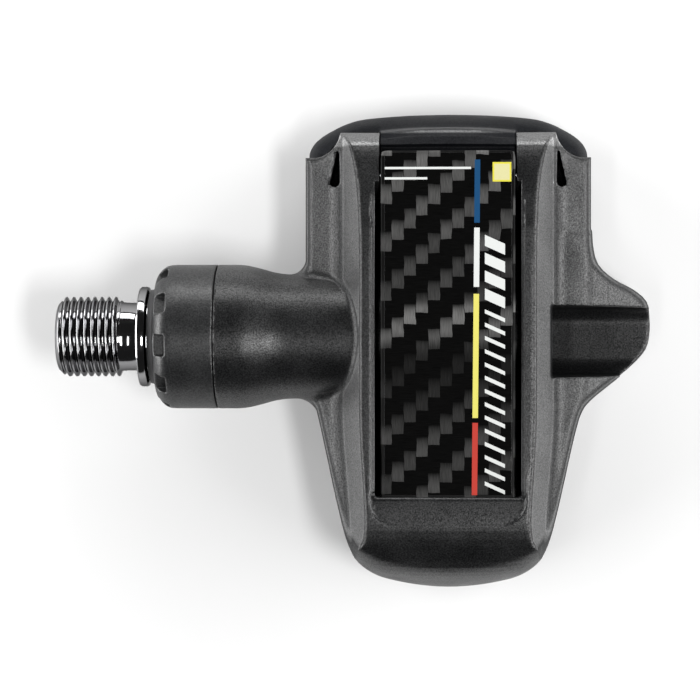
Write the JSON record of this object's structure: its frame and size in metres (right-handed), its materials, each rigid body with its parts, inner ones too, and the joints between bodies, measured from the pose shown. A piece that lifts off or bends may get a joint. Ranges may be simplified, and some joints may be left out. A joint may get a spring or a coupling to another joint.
{
  "type": "clipless pedal",
  "caption": "Road clipless pedal for the right-hand crank, blade side up: threaded spindle, castellated seal nut, composite body, carbon leaf spring and sprung rear jaw.",
  "frame": {"origin": "on the spindle's axis, in the plane of the flange face that seats on the crank", "axes": "+X runs outboard along the spindle, +Y towards the rear jaw, +Z towards the blade side (the pedal lies on its cleat side)"},
  "size_m": [0.1061, 0.0857, 0.0304],
  "materials": {
    "spindle_steel": "polished, dark nickel",
    "bearing_steel": "ground",
    "spring_steel": "phosphated",
    "cage_nylon": "satin",
    "seal_rubber": "matt",
    "nut_alloy": "black, fine blasted",
    "composite": "fine grained, satin",
    "plate_steel": "brushed stainless",
    "screw_steel": "black",
    "jaw_composite": "fine grained, satin",
    "pin_steel": "ground",
    "carbon": "lacquered twill laminate",
    "film": "lacquered twill print with colour stripe"
  },
  "bodies": {
    "axle": {"axle": "spindle_steel", "axle_circlip": "spring_steel", "inner_race": "bearing_steel"},
    "pedal": {"pedal_body": "composite", "wear_plate": "plate_steel", "plate_screws": "screw_steel", "sealing_nut": "nut_alloy", "nut_o_ring": "seal_rubber", "lip_seal": "seal_rubber", "bearing_circlip": "spring_steel", "outer_race": "bearing_steel", "bearing_shields": "spring_steel", "needle_cup": "bearing_steel", "jaw_pin": "pin_steel"},
    "ball_set": {"ball_cage": "cage_nylon", "balls": "bearing_steel"},
    "needle_set": {"needle_cage": "cage_nylon", "needle_rollers": "bearing_steel"},
    "jaw": {"rear_jaw": "jaw_composite"},
    "blade": {"carbon_blade": "carbon", "blade_film": "film"}
  },
  "joints": [
    {"name": "axle_spin", "type": "hinge", "parent": "axle", "child": "pedal", "pos_m": [0, 0, 0], "axis": [1, 0, 0], "continuous": true},
    {"name": "ball_cage_spin", "type": "hinge", "parent": "axle", "child": "ball_set", "pos_m": [0, 0, 0], "axis": [1, 0, 0], "continuous": true},
    {"name": "needle_cage_spin", "type": "hinge", "parent": "axle", "child": "needle_set", "pos_m": [0, 0, 0], "axis": [1, 0, 0], "continuous": true},
    {"name": "jaw_open", "type": "hinge", "parent": "pedal", "child": "jaw", "pos_m": [0.055, 0.0272, 0.0046], "axis": [1, 0, 0], "range_deg": [0, 12], "stiffness_Nm_per_rad": 3, "springref_deg": -0.23},
    {"name": "blade_flex", "type": "hinge", "parent": "pedal", "child": "blade", "pos_m": [0.055, -0.0305, 0.0096], "axis": [1, 0, 0], "range_deg": [0, 0.8]}
  ],
  "couplings": [
    {"joint": "ball_cage_spin", "follows": "axle_spin", "ratio": 0.57212},
    {"joint": "needle_cage_spin", "follows": "axle_spin", "ratio": 0.56261},
    {"joint": "blade_flex", "follows": "jaw_open", "ratio": 0.0625}
  ]
}
